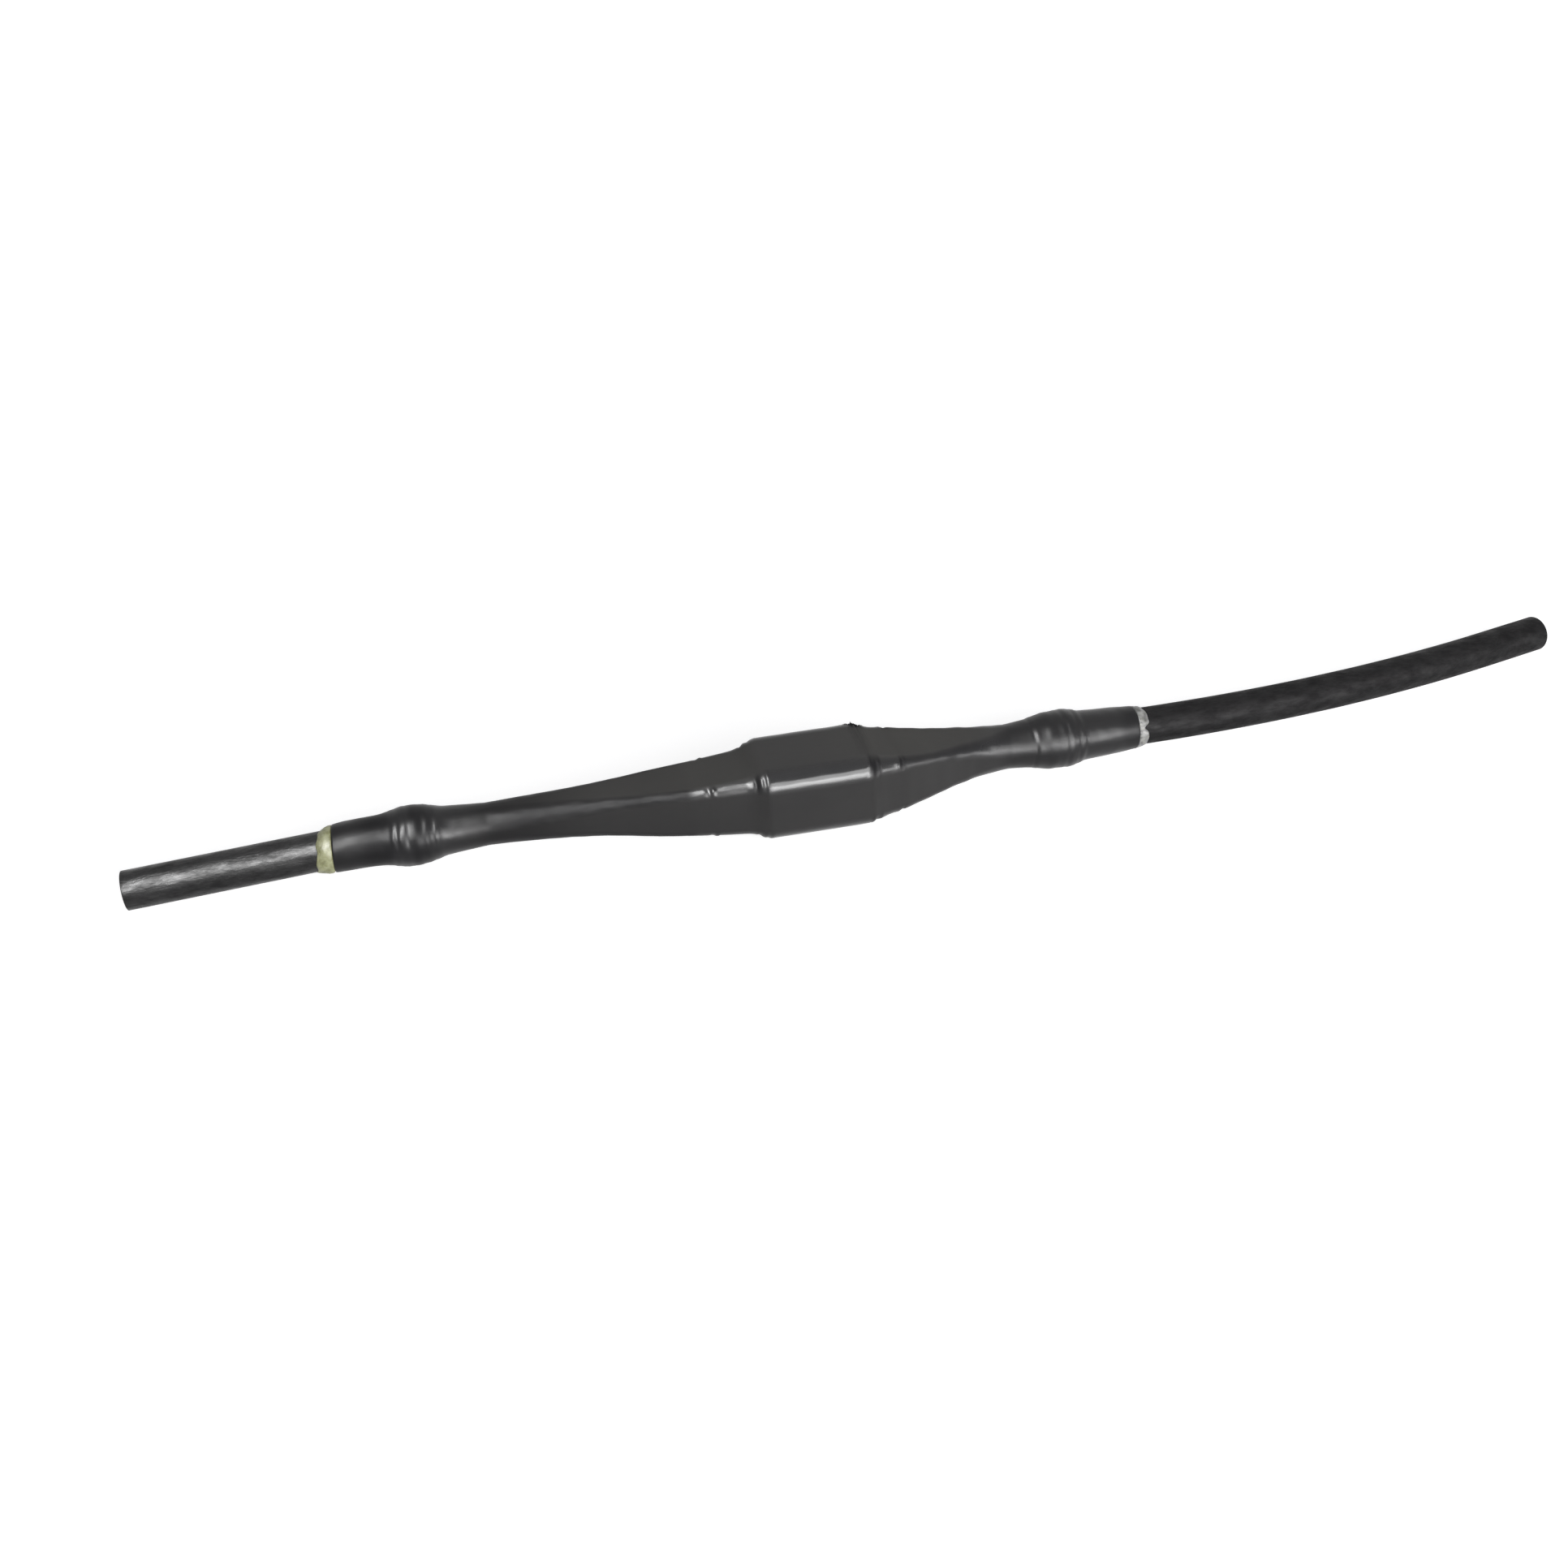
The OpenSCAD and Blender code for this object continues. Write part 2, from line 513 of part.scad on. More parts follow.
function braid_ring(t) = concat(
  [for (j = [0:braid_steps]) braid_point(t, (j / braid_steps - 0.5) * braid_width, braid_dist(t) + braid_thick)],
  [for (j = [braid_steps:-1:0]) braid_point(t, (j / braid_steps - 0.5) * braid_width, braid_dist(t))]);
braid_stations = concat([for (s = [76, 66, 53, 50, 44, 37, 29, 15]) left_crutch_x - s],
  [for (t = middle_stations) t], [for (s = [10, 18, 27, 35, 41, 54, 64]) right_crutch_x + s]);

module earth_braid() {
  n = 2 * (braid_steps + 1);
  rings = len(braid_stations);
  points = [for (t = braid_stations) each braid_ring(t)];
  color([0.72, 0.45, 0.3]) polyhedron(points = points, faces = concat(skin_faces(rings, n, 0, false),
    [[for (j = [0:n - 1]) j]], [[for (j = [n - 1:-1:0]) (rings - 1) * n + j]]), convexity = 6);
}

core_colors = [[0.36, 0.2, 0.12], [0.08, 0.08, 0.08], [0.5, 0.5, 0.5], [0.1, 0.25, 0.6]];
copper = [0.75, 0.45, 0.28];
steel = [0.62, 0.63, 0.64];
module left_sheath() color([0.12, 0.12, 0.12]) sheath(LEFT);
module right_sheath() color([0.12, 0.12, 0.12]) sheath(RIGHT);
module left_armour() color(steel) armour(LEFT);
module right_armour() color(steel) armour(RIGHT);
module left_bedding() color([0.2, 0.2, 0.2]) bedding(LEFT);
module right_bedding() color([0.2, 0.2, 0.2]) bedding(RIGHT);
module left_core_brown() color(core_colors[BROWN]) core(LEFT, BROWN);
module left_core_black() color(core_colors[BLACK]) core(LEFT, BLACK);
module left_core_grey() color(core_colors[GREY]) core(LEFT, GREY);
module left_core_blue() color(core_colors[BLUE]) core(LEFT, BLUE);
module right_core_brown() color(core_colors[BROWN]) core(RIGHT, BROWN);
module right_core_black() color(core_colors[BLACK]) core(RIGHT, BLACK);
module right_core_grey() color(core_colors[GREY]) core(RIGHT, GREY);
module right_core_blue() color(core_colors[BLUE]) core(RIGHT, BLUE);
module left_conductor_brown() color(copper) conductor(LEFT, BROWN);
module left_conductor_black() color(copper) conductor(LEFT, BLACK);
module left_conductor_grey() color(copper) conductor(LEFT, GREY);
module left_conductor_blue() color(copper) conductor(LEFT, BLUE);
module right_conductor_brown() color(copper) conductor(RIGHT, BROWN);
module right_conductor_black() color(copper) conductor(RIGHT, BLACK);
module right_conductor_grey() color(copper) conductor(RIGHT, GREY);
module right_conductor_blue() color(copper) conductor(RIGHT, BLUE);
module left_support_ring() color([0.7, 0.7, 0.72]) support_ring(LEFT);
module right_support_ring() color([0.7, 0.7, 0.72]) support_ring(RIGHT);
module left_roll_spring() color(steel) roll_spring(LEFT);
module right_roll_spring() color(steel) roll_spring(RIGHT);
module left_sealant() color([0.72, 0.72, 0.55]) sealant(LEFT);
module right_sealant() color([0.66, 0.66, 0.66]) sealant(RIGHT);
module connector_brown() color([0.78, 0.79, 0.8]) connector(BROWN);
module connector_black() color([0.78, 0.79, 0.8]) connector(BLACK);
module connector_grey() color([0.78, 0.79, 0.8]) connector(GREY);
module connector_blue() color([0.78, 0.79, 0.8]) connector(BLUE);
module bolts_brown() color([0.8, 0.65, 0.3]) bolts(BROWN);
module bolts_black() color([0.8, 0.65, 0.3]) bolts(BLACK);
module bolts_grey() color([0.8, 0.65, 0.3]) bolts(GREY);
module bolts_blue() color([0.8, 0.65, 0.3]) bolts(BLUE);
module inner_sleeve_brown() color([0.15, 0.15, 0.15]) inner_sleeve(BROWN);
module inner_sleeve_black() color([0.15, 0.15, 0.15]) inner_sleeve(BLACK);
module inner_sleeve_grey() color([0.15, 0.15, 0.15]) inner_sleeve(GREY);
module inner_sleeve_blue() color([0.15, 0.15, 0.15]) inner_sleeve(BLUE);

left_sheath();
left_armour();
left_bedding();
left_core_brown();
left_core_black();
left_core_grey();
left_core_blue();
left_conductor_brown();
left_conductor_black();
left_conductor_grey();
left_conductor_blue();
left_support_ring();
left_roll_spring();
left_sealant();
right_sheath();
right_armour();
right_bedding();
right_core_brown();
right_core_black();
right_core_grey();
right_core_blue();
right_conductor_brown();
right_conductor_black();
right_conductor_grey();
right_conductor_blue();
right_support_ring();
right_roll_spring();
right_sealant();
connector_brown();
connector_black();
connector_grey();
connector_blue();
bolts_brown();
bolts_black();
bolts_grey();
bolts_blue();
inner_sleeve_brown();
inner_sleeve_black();
inner_sleeve_grey();
inner_sleeve_blue();
earth_braid();
outer_sleeve();
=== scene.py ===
import math
import bpy
from mathutils import Matrix, Vector, noise


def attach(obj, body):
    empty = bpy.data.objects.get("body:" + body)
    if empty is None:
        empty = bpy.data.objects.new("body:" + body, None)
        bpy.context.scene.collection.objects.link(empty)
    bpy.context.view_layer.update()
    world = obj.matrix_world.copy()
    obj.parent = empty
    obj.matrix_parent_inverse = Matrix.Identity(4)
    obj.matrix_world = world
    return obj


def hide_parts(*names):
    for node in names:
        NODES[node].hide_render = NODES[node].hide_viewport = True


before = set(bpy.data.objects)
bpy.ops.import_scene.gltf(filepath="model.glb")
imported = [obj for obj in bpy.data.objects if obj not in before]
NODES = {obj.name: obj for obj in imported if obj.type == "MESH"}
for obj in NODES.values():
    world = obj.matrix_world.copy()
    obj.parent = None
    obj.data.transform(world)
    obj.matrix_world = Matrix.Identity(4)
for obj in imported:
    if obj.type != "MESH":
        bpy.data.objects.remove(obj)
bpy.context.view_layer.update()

MM = 0.001

# Camera: the photograph's own view, worked out from the cable's outline. Lengths in millimetres.
AZIMUTH = math.radians(-14.007)
ELEVATION = math.radians(38)
FOCAL_PX = 2261
DISTANCE = 1713
PHOTO_PX = 1932
SENSOR = 36
AIM = Vector((0, 0, 39))
AIM_PX = (1010, 961)
BACK = Vector((math.sin(AZIMUTH) * math.cos(ELEVATION), -math.cos(AZIMUTH) * math.cos(ELEVATION),
               math.sin(ELEVATION)))
RIGHT = Vector((math.cos(AZIMUTH), math.sin(AZIMUTH), 0))
UP = BACK.cross(RIGHT)


def make_camera():
    data = bpy.data.cameras.new("camera")
    data.sensor_width = SENSOR
    data.lens = SENSOR * FOCAL_PX / PHOTO_PX
    data.clip_end = 50
    cam = bpy.data.objects.new("camera", data)
    bpy.context.collection.objects.link(cam)
    # The aim isn't in the middle of the picture, so the camera stands a little beside it.
    off_right = (AIM_PX[0] - PHOTO_PX / 2) * DISTANCE / FOCAL_PX
    off_up = (PHOTO_PX / 2 - AIM_PX[1]) * DISTANCE / FOCAL_PX
    place = AIM + BACK * DISTANCE - RIGHT * off_right - UP * off_up
    turn = Matrix((RIGHT, UP, BACK)).transposed().to_4x4()
    cam.matrix_world = Matrix.Translation(place * MM) @ turn
    bpy.context.scene.camera = cam


make_camera()

# The route and the sleeve's stations, as in the part's source, in millimetres. Pairs are for the left and the
# right side. Cores and ridges are numbered 0 brown, far upper, 1 black, near upper, 2 grey, near lower,
# and 3 blue, far lower.
LEFT, RIGHT_SIDE = 0, 1
DIR = (-1, 1)
CORE_Y = (1, -1, -1, 1)
CORE_Z = (1, 1, -1, -1)
# The middle of each core's connector, X, and how far off the middle of four a core and a connector lie
SHIFT = (-12, -9, -6, -6)
CORE_OFFSET = 5.4
BLOCK_OFFSET = 19.4
# The sleeve's corner over a connector, and the steps that the source makes a corner of. The block rests on the
# lowest of them.
CORNER_RADIUS = 19.6
CORNER_STEPS = 8
# From a connector's middle to its core's curve, and the share of that curve that the first bend takes
CURVE_START = 64
FIRST_SHARE = (0.58, 0.5)
# The crutches, where the cores part
CRUTCH_X = (-308.6, 189)
CRUTCH_Y = (20.4, 17.1)
CRUTCH_Z = 31
# A cable from its crutch: straight, bent, straight
STRAIGHT = (100, 152)
BEND_R = (500, 1515)
TAIL = (190, 74)
SHEATH_R = 18.0868
SHEATH_IN = 16.1868
# Where the sheath is cut back and where the sleeve ends, from the crutch
CUT = (92, 80)
MOUTH = (137, 137)
AXIS_Z = BLOCK_OFFSET + CORNER_RADIUS * math.cos(math.radians(45 / CORNER_STEPS))
# The cables come down from the crutches to the floor.
DROP = CRUTCH_Z - SHEATH_R
LEFT_ANGLE = math.acos((BEND_R[0] - DROP) / math.hypot(BEND_R[0], TAIL[0])) - math.atan(TAIL[0] / BEND_R[0])
BEND = (LEFT_ANGLE, math.radians(15.1))
SWING = BEND_R[1] * (1 - math.cos(BEND[1])) + TAIL[1] * math.sin(BEND[1])
ROLL = (math.pi / 2, math.asin(DROP / SWING))
ARC = tuple(BEND_R[i] * BEND[i] for i in (0, 1))
END = tuple(STRAIGHT[i] + ARC[i] + TAIL[i] for i in (0, 1))


# A cable's own directions at its crutch: the way it bends, the way across that, and along it
def axis_x(i):
    return Vector((0, math.cos(ROLL[i]), -math.sin(ROLL[i])))


def axis_y(i):
    return Vector((0, math.sin(ROLL[i]), math.cos(ROLL[i]))) * DIR[i]


def axis_along(i):
    return Vector((DIR[i], 0, 0))


def bent(i, s):
    """How far cable i has turned at the distance s from its crutch."""
    return min(max(s - STRAIGHT[i], 0) / ARC[i], 1) * BEND[i]


def cable_point(i, s, y, z):
    """A point y and z off the cable's axis at the distance s from its crutch, in millimetres."""
    b = bent(i, s)
    past = max(s - STRAIGHT[i] - ARC[i], 0)
    side = BEND_R[i] * (1 - math.cos(b)) + past * math.sin(b)
    along = min(s, STRAIGHT[i]) + BEND_R[i] * math.sin(b) + past * math.cos(b)
    x1 = y * math.cos(ROLL[i]) - z * math.sin(ROLL[i])
    y1 = DIR[i] * (y * math.sin(ROLL[i]) + z * math.cos(ROLL[i]))
    return (Vector((CRUTCH_X[i], CRUTCH_Y[i], CRUTCH_Z)) + axis_x(i) * (side + x1 * math.cos(b))
            + axis_y(i) * y1 + axis_along(i) * (along - x1 * math.sin(b)))


def core_yz(k, x):
    """Y and Z of core k at x. It runs from the crutch to its connector in an S of two arcs."""
    i = LEFT if x < SHIFT[k] else RIGHT_SIDE
    start = Vector((CRUTCH_Y[i] + CORE_Y[k] * CORE_OFFSET, CRUTCH_Z + CORE_Z[k] * CORE_OFFSET))
    goal = Vector((CORE_Y[k] * BLOCK_OFFSET, AXIS_Z + CORE_Z[k] * BLOCK_OFFSET))
    sway = (goal - start).length
    run = abs(CRUTCH_X[i] - (SHIFT[k] + DIR[i] * CURVE_START))
    a = DIR[i] * (CRUTCH_X[i] - x)
    turn = 2 * math.atan(sway / run)
    r1 = FIRST_SHARE[i] * run / math.sin(turn)
    r2 = (1 - FIRST_SHARE[i]) * run / math.sin(turn)
    if a <= 0:
        moved = 0
    elif a >= run:
        moved = sway
    elif a < r1 * math.sin(turn):
        moved = r1 - math.sqrt(r1 * r1 - a * a)
    else:
        moved = sway - (r2 - math.sqrt(r2 * r2 - (run - a) ** 2))
    return start + (goal - start) * (moved / sway)


def mean_yz(x):
    return (core_yz(0, x) + core_yz(1, x) + core_yz(2, x) + core_yz(3, x)) / 4


def smooth_table(rows, column=1):
    """A smooth curve through the rows' first and given columns. It never swings past them."""
    xs = [r[0] for r in rows]
    ys = [r[column] for r in rows]
    n = len(xs)
    d = [(ys[i + 1] - ys[i]) / (xs[i + 1] - xs[i]) for i in range(n - 1)]
    m = [0 if a * b <= 0 else 2 * a * b / (a + b) for a, b in zip(d, d[1:])]
    m = [d[0]] + m + [d[-1]]

    def at(x):
        if x <= xs[0]:
            return ys[0]
        if x >= xs[-1]:
            return ys[-1]
        i = max(j for j in range(n - 1) if xs[j] <= x)
        h = xs[i + 1] - xs[i]
        u = (x - xs[i]) / h
        return ((1 + 2 * u) * (1 - u) ** 2 * ys[i] + u * (1 - u) ** 2 * h * m[i]
                + u * u * (3 - 2 * u) * ys[i + 1] + u * u * (u - 1) * h * m[i + 1])
    return at


# Distance from the crutch, outer radius, largest wall
CABLE_ROWS = (
    ((0, 19.5, 3.7), (15, 20.6, 4.2), (29, 21.7, 4.3), (37, 22.4, 4.0), (44, 23.9, 3.6), (51.5, 26, 3.3),
     (59, 27.2, 3.5), (66, 27.8, 4.0), (73, 27.8, 4.0), (77, 27, 3.7), (81, 26.2, 3.8), (88, 24.4, 4.2),
     (95, 23.3, 9), (110, 22.6, 9), (124, 22.4, 9), (131, 22.0, 9), (137, 21.6, 9)),
    ((0, 21.5, 4.9), (10, 22.3, 4.5), (18, 23.1, 4.1), (27, 24.7, 3.9), (35, 26.3, 3.5), (42, 27.6, 3.6),
     (52, 27.9, 4.1), (60, 28.2, 4.3), (66, 27.5, 3.9), (69, 26.7, 3.7), (77, 24.3, 4.0), (86, 23.7, 9),
     (94, 23.3, 9), (112, 22.6, 9), (129, 21.4, 9), (137, 21.0, 9)))
# X, how far the corners part, corner radius, wall
MIDDLE_ROWS = (
    (-308.6, 0.019, 19.36, 3.7), (-278, 0.3, 18.2, 4.2), (-248, 0.6, 16.3, 4.3), (-219, 0.85, 13.7, 4.4),
    (-189, 1, 10.9, 4.5), (-159, 1, 9.8, 3.8), (-129, 1, 9.2, 3.1), (-112, 1, 9.4, 2.6), (-99, 1, 9.9, 2.5),
    (-87, 1, 10.6, 2.7), (-68, 1, 12.2, 2.7), (-58, 1, 15, 2.6), (-52, 1, 18.2, 2.4),
    (-48, 1, CORNER_RADIUS, 2.3), (49, 1, CORNER_RADIUS, 2.3), (53, 1, 18.4, 2.4), (58, 1, 16.8, 2.6),
    (68, 1, 14, 3.0), (76, 1, 12.8, 3.3), (84, 1, 11.9, 3.6), (95, 1, 10.6, 3.6), (111, 1, 10.2, 3.2),
    (127, 1, 11.8, 3.9), (143, 1, 13.7, 4.3), (152, 0.9, 14.6, 4.4), (168, 0.6, 17.6, 4.4),
    (180, 0.25, 20, 4.6), (189, 0.019, 21.36, 4.9))
# On the cables the ring is round: its four corners lie this far off its middle.
ROUND_OFFSET = 0.1
# Gap between the sheath and the sleeve's bore
SHEATH_GAP = 0.15
CABLE_R = [smooth_table(rows, 1) for rows in CABLE_ROWS]
CABLE_WALL = [smooth_table(rows, 2) for rows in CABLE_ROWS]
SHARE = smooth_table(MIDDLE_ROWS, 1)
WALL = smooth_table(MIDDLE_ROWS, 3)
CORNER = smooth_table(MIDDLE_ROWS, 2)
# A ridge's own X is measured from its connector's middle beside the connector, and is plain X at the crutches
# and past them.
# The ridge's own X, how glossy the ridges are there. They are dull in the creases beside the block.
SHINE = smooth_table((
    (-446, -0.6), (-430, -0.5), (-412, -0.8), (-399, -0.7), (-390, -0.25), (-380, -0.25), (-374, -0.7),
    (-362, -0.45), (-350, 0.05), (-335, -0.1), (-300, -0.7), (-250, -0.9), (-124, -0.92), (-112, 0.3),
    (-70, 0.35), (-63, 0.1), (-60, -0.6), (-57, -0.6), (-54, 0), (-48, 0.1), (-44, 1), (45, 1), (49, -0.8),
    (57, -0.8), (60, 0.65), (75, 0.65), (77.5, -0.8), (81, -0.8), (84, -0.05), (150, -0.05), (170, 0.45),
    (189, -0.2), (225, -0.3), (240, -0.15), (255, -0.05), (266, 0.05), (300, 0.05), (316, -0.4), (326, -0.5)))
# The ridge's own X, how much fuller the sleeve lies on the far upper ridge than in the source
FULLNESS = smooth_table(((-60, 0), (-50, -0.5), (-43, 1.2), (40, 1.2), (46, 0.9), (60, 0.9), (75, 1.2), (95, 1.2),
                         (189, 0)))
# X, how much paler the flats are painted where they face up, as painted light on the upper flats
UPWARD_PAINTED_LIGHT = smooth_table(((-309, 0.6), (-230, 0.9), (-75, 1.25), (-52, 0.25), (30, 0.6), (55, 1.3), (120, 1.1),
                     (189, 0.9)))
# Kinks across every ridge where an inner sleeve or a connector ends: the ridge's own X, width, height
KINKS = ((-98.5, 1.9, 0.8), (-103, 2.2, -0.5), (-54.5, 1.6, 0.7), (-58.5, 1.7, -0.7), (53.5, 2.8, -1.4),
         (74.5, 2.0, 0.4), (79, 1.8, -0.9))
# Rings round the two swellings: distance from the crutch, width, height
RINGS = (((45, 2.2, 0.6), (50, 1.6, -0.8), (54.5, 1.3, 0.4), (59, 1.6, -0.4), (64, 2.0, 0.15), (71, 2.0, -0.45),
          (77.5, 1.6, 0.45), (84, 1.8, 0.5), (80.8, 1.3, -0.35)),
         ((23.5, 1.4, -0.6), (27.5, 1.5, 0.3), (47, 1.6, -0.25), (52.5, 1.7, 0.4), (56.3, 1.4, -0.35),
          (60, 1.7, 0.4), (72.5, 1.8, 0.4), (67.5, 2.0, -0.8)))
# The rings of each swelling: how deep at least and at most, how far and how often they sway, the swelling's
# middle, and two numbers that choose the noise
RING_LOOK = ((0.3, 1.0, 1.4, 1.5, 66, 3.0, 8.0), (0.35, 1.0, 1.2, 1.4, 55, 7.0, 15.0))
# Directions round the sleeve: where the rings are deepest, and where the left mouth reaches furthest
NEAR_UPPER = 2.65
NEAR_LOWER = math.radians(232)
# How far each mouth reaches past the source's, how far it slants, and the direction in which it reaches furthest
MOUTH_REACH = ((0.6, 2.2, NEAR_LOWER), (-5.2, 0.6, 0))
# The slant sets in at this distance from the crutch and is whole after this run.
SLANT_START, SLANT_RUN = 95, 40
# Points on a corner of the sleeve's rings, and on a whole ring
CORNER_POINTS = 24
RING_POINTS = 4 * CORNER_POINTS
# Stations of the sleeve's rings: up to this X, this far apart. They are closest over the bunched folds.
STATIONS = ((-360, 1.5), (-122, 2), (34, 1), (62, 0.5), (98, 1), (205, 2), (CRUTCH_X[1] + MOUTH[1], 1.5))


def own_x(k, x):
    """Ridge k's own X at x."""
    keys = ((CRUTCH_X[0], CRUTCH_X[0]), (SHIFT[k] - CURVE_START, -CURVE_START),
            (SHIFT[k] + CURVE_START, CURVE_START), (CRUTCH_X[1], CRUTCH_X[1]))
    for (a, b), (c, d) in zip(keys, keys[1:]):
        if x <= c:
            return b + (d - b) * (x - a) / (c - a)
    return x


def bump(x, centre, width, height=1):
    return height * math.exp(-((x - centre) / width) ** 2)


def slant(side, s, a):
    """How much further out the sleeve's end lies than in the source. The left mouth is slanted, the right one
    has shrunk back."""
    grow = max(0, min(1, (s - SLANT_START) / SLANT_RUN))
    reach, tilt, furthest = MOUTH_REACH[side]
    return grow * (reach + tilt * math.cos(a - furthest))


def sleeve_ring(t, inset=0.0, detail=None, inside=False):
    """One ring of the sleeve at t, which is X and runs on along the cables. The points are in metres."""
    side = LEFT if t < CRUTCH_X[0] else RIGHT_SIDE if t > CRUTCH_X[1] else None
    s = abs(t - CRUTCH_X[side]) if side is not None else 0
    pts = []
    for n in range(4):
        if side is None:
            centre = mean_yz(t) + (core_yz(n, t) - mean_yz(t)) * SHARE(t)
            q = CORNER(own_x(n, t))
        else:
            centre = Vector((CORE_Y[n], CORE_Z[n])) * ROUND_OFFSET
            q = CABLE_R[side](s) - ROUND_OFFSET * math.sqrt(2)
        for j in range(CORNER_POINTS):
            a = math.radians(90 * n + (j + 0.5) * 90 / CORNER_POINTS)
            r = q - inset
            if inside and side is None:
                r -= WALL(own_x(n, t))
            elif inside:
                wall = CABLE_WALL[side](s)
                # Over the sheath the sleeve fills what there is between its skin and the sheath.
                if s >= CUT[side]:
                    wall = min(wall, CABLE_R[side](s) - SHEATH_R - SHEATH_GAP)
                r -= wall
            if detail:
                r += detail(t, side, s, n, a)
            y = centre[0] + r * math.cos(a)
            z = centre[1] + r * math.sin(a)
            p = Vector((t, y, z)) if side is None else cable_point(side, s + slant(side, s, a), y, z)
            pts.append(p * MM)
    return pts


def loft(name, rings):
    """A mesh through equal rings, whose last ring joins the first. So it goes out along the skin and back
    through the bore."""
    n = len(rings[0])
    verts = [p for ring in rings for p in ring]
    faces = []
    count = len(rings)
    for i in range(count):
        a = i * n
        b = ((i + 1) % count) * n
        for j in range(n):
            m = (j + 1) % n
            faces.append((a + j, a + m, b + m, b + j))
    mesh = bpy.data.meshes.new(name)
    mesh.from_pydata([tuple(v) for v in verts], [], faces)
    mesh.validate()
    mesh.update()
    for p in mesh.polygons:
        p.use_smooth = True
    obj = bpy.data.objects.new(name, mesh)
    bpy.context.collection.objects.link(obj)
    return obj


# Cords: the two stiff cables, from where their sheaths are cut back inside the joint to their cut ends
SHEATH_POINTS = 96
SHEATH_STEP = 3
# How uneven a sheath's radius is
WAVE = 0.06
# The cut end's broken edges, outer and inner: back from the end, into the sheath
OUTER_EDGE = ((0.5, 0.05), (0.15, 0.15), (0, 0.5))
INNER_EDGE = ((0, 0.3), (0.3, 0))


def make_sheath(i, name):
    e = END[i]
    n = int((e - CUT[i]) / SHEATH_STEP)
    stations = [CUT[i] + (e - CUT[i]) * k / n for k in range(n + 1)]
    turns = [2 * math.pi * j / SHEATH_POINTS for j in range(SHEATH_POINTS)]

    def circle(s, r):
        return [cable_point(i, s, r * math.cos(a), r * math.sin(a)) * MM for a in turns]
    rings = []
    for s in stations[:-1]:
        wave = WAVE * noise.noise(Vector((s * 0.03, i * 9.0, 0)))
        rings.append(circle(s, SHEATH_R - WAVE + wave))
    rings += [circle(e - back, SHEATH_R - depth) for back, depth in OUTER_EDGE]
    rings += [circle(e - back, SHEATH_IN + depth) for back, depth in INNER_EDGE]
    rings += [circle(s, SHEATH_IN) for s in reversed(stations[:-1:4])]
    if DIR[i] < 0:
        rings = [list(reversed(r)) for r in rings]
    obj = loft(name, rings)
    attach(obj, "root")
    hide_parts("left_sheath" if i == LEFT else "right_sheath")
    return obj


left_cable = make_sheath(LEFT, "left_cable")
right_cable = make_sheath(RIGHT_SIDE, "right_cable")


# The outer sleeve's own detail: creases and rings where it grips what lies under it
def ridge_detail(t, n, a):
    """Between the crutches, on ridge n in the direction a. The kinks fade out on the flats between the ridges."""
    x = own_x(n, t)
    lean = a - math.pi / 2 * n
    sway = 1.2 * noise.noise(Vector((a * 1.3, n * 5.0, 1.0)))
    kink = sum(bump(x, centre + sway, width, height) for centre, width, height in KINKS)
    kink -= bump(x, -50.5, 1.6, 0.6) + bump(x, 46 + 8 * (1.05 - lean), 2.4, 0.4)
    out = kink * math.sin(2 * lean) ** 1.6
    if n == 0:
        # The sleeve lies a little fuller on the far ridge, and has bunched up over that connector's right end.
        fold = noise.noise(Vector((x * 0.42, lean * 4.0, 4.0)))
        fold += 0.5 * noise.noise(Vector((x * 0.9, lean * 9.0, 9.0)))
        crease = bump(x, 55 + 3 * math.sin(3 * lean), 1.5)
        crease += bump(x, 48 + 4 * math.sin(2.4 * lean + 1), 1.3, 0.8)
        bunch = 4.6 * abs(fold) * bump(x, 50, 8) + bump(x, 54.5, 5, 1.1) - 2.2 * crease
        out += (bunch + FULLNESS(x)) * math.sin(2 * lean) ** 0.7
    return out


def swelling_detail(side, s, a):
    """On a cable, at the distance s from its crutch, in the direction a."""
    least, most, reach, turns, middle, sway_key, rough_key = RING_LOOK[side]
    sway = reach * noise.noise(Vector((math.cos(a) * turns, math.sin(a) * turns, sway_key)))
    rings = sum(bump(s, centre + sway, width, height) for centre, width, height in RINGS[side])
    rings += 0.5 * noise.noise(Vector((s * 0.12, a * 1.2, rough_key))) * bump(s, middle, 30)
    return rings * (least + bump(a, NEAR_UPPER, 1, most - least))


def sleeve_detail(t, side, s, n, a):
    """How far the sleeve's skin lies outside its smooth shape, in millimetres."""
    p = Vector((t * 0.02, math.cos(a) * 0.8 + n * 3.1, math.sin(a) * 0.8))
    out = 0.22 * noise.noise(p) + 0.14 * noise.noise(p * 3.3)
    if side is not None or t < -130 or t > 95:
        out += 0.16 * noise.noise(Vector((t * 0.11, math.cos(a) * 2.2 + 4.0, math.sin(a) * 2.2)))
    return out + (ridge_detail(t, n, a) if side is None else swelling_detail(side, s, a))


